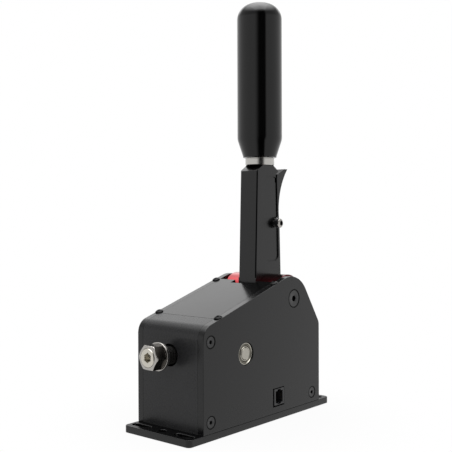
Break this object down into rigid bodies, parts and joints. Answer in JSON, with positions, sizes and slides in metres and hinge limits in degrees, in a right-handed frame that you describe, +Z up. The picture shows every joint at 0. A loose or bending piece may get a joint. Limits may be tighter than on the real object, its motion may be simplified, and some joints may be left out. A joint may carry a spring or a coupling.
{
  "type": "sim racing handbrake",
  "caption": "Upright sim racing handbrake with a round grip, a finger trigger and a sprung pull rod in a closed box of plates on a slotted base.",
  "frame": {"origin": "middle of the base plate's underside, on the plane that the object is bolted to", "axes": "+Z up along the lever, -Y towards the driver who pulls the lever, +X across to the side with the data port"},
  "size_m": [0.074, 0.2038, 0.3738],
  "materials": {
    "black_plate": "matte black anodised",
    "black_lever": "satin black anodised",
    "black_grip": "polished black anodised",
    "red_hub": "red anodised",
    "black_screw": "black oxide",
    "spring_steel": "black oxide spring wire",
    "main_spring_paint": "red enamelled spring wire",
    "steel": "turned and ground",
    "grey_aluminium": "plain anodised",
    "bronze": "sintered",
    "brass": "plain",
    "nylon": "plain",
    "rubber": "plain",
    "circuit_board": "lacquered",
    "port_plastic": "moulded",
    "plunger_plastic": "moulded",
    "lead_jacket": "plain",
    "magnet": "nickel plated"
  },
  "bodies": {
    "housing": {"base_plate": "black_plate", "right_side_plate": "black_plate", "left_side_plate": "black_plate", "front_block": "black_plate", "top_cover": "black_plate", "rear_bar": "black_plate", "rear_panel": "black_plate", "side_screws": "black_screw", "axle_screws": "black_screw", "cover_screws": "black_screw", "base_screws": "black_screw", "rear_panel_screws": "black_screw", "lever_axle": "steel", "thrust_washers": "nylon", "bearing_outer_rings": "steel", "rest_buffer": "rubber", "sensor_bracket": "grey_aluminium", "hall_board": "circuit_board", "main_board": "circuit_board", "data_port": "port_plastic", "board_standoffs": "brass", "board_screws": "steel", "sensor_lead": "lead_jacket"},
    "lever": {"lever_arm": "black_lever", "right_hub_cheek": "red_hub", "left_hub_cheek": "red_hub", "hub_bushes": "bronze", "hub_bolts": "black_screw", "tail_pin": "steel", "sensor_magnet": "magnet", "grip_collar": "steel", "grip_stud": "steel", "grip": "black_grip", "trigger_screw": "steel", "trigger_spring": "spring_steel", "trigger_switch": "port_plastic"},
    "trigger": {"trigger": "black_lever"},
    "plunger": {"switch_plunger": "plunger_plastic"},
    "swivel": {"swivel_block": "grey_aluminium", "bearing_inner_rings": "steel", "main_spring": "main_spring_paint"},
    "rod": {"pull_rod": "steel", "spring_seat": "grey_aluminium"},
    "travel_stop": {"travel_nut": "steel", "travel_washer": "steel", "travel_buffer": "rubber"}
  },
  "joints": [
    {"name": "lever_pull", "type": "hinge", "parent": "housing", "child": "lever", "pos_m": [0, 0.041, 0.104], "axis": [1, 0, 0], "range_deg": [0, 12.5], "stiffness_Nm_per_rad": 60, "springref_deg": -6.88},
    {"name": "trigger_squeeze", "type": "hinge", "parent": "lever", "child": "trigger", "pos_m": [0, 0.0506, 0.1715], "axis": [1, 0, 0], "range_deg": [0, 1.8], "stiffness_Nm_per_rad": 0.6, "springref_deg": -11.46},
    {"name": "plunger_press", "type": "slide", "parent": "lever", "child": "plunger", "axis": [0, -1, 0], "range_m": [0, 0.00054]},
    {"name": "swivel_tilt", "type": "hinge", "parent": "housing", "child": "swivel", "pos_m": [0, -0.0277, 0.0635], "axis": [1, 0, 0], "range_deg": [0, 1.05]},
    {"name": "rod_slide", "type": "slide", "parent": "swivel", "child": "rod", "axis": [0, 0.9992, -0.0407], "range_m": [0, 0.00936], "deforming": ["main_spring"]},
    {"name": "travel_nut_turn", "type": "hinge", "parent": "rod", "child": "travel_stop", "pos_m": [0, -0.097, 0.06632], "axis": [0, 0.9992, -0.0407], "continuous": true}
  ],
  "couplings": [
    {"joint": "swivel_tilt", "follows": "lever_pull", "ratio": 0.0826},
    {"joint": "rod_slide", "follows": "lever_pull", "m_per_rad": 0.042788},
    {"joint": "plunger_press", "follows": "trigger_squeeze", "m_per_rad": 0.017}
  ]
}
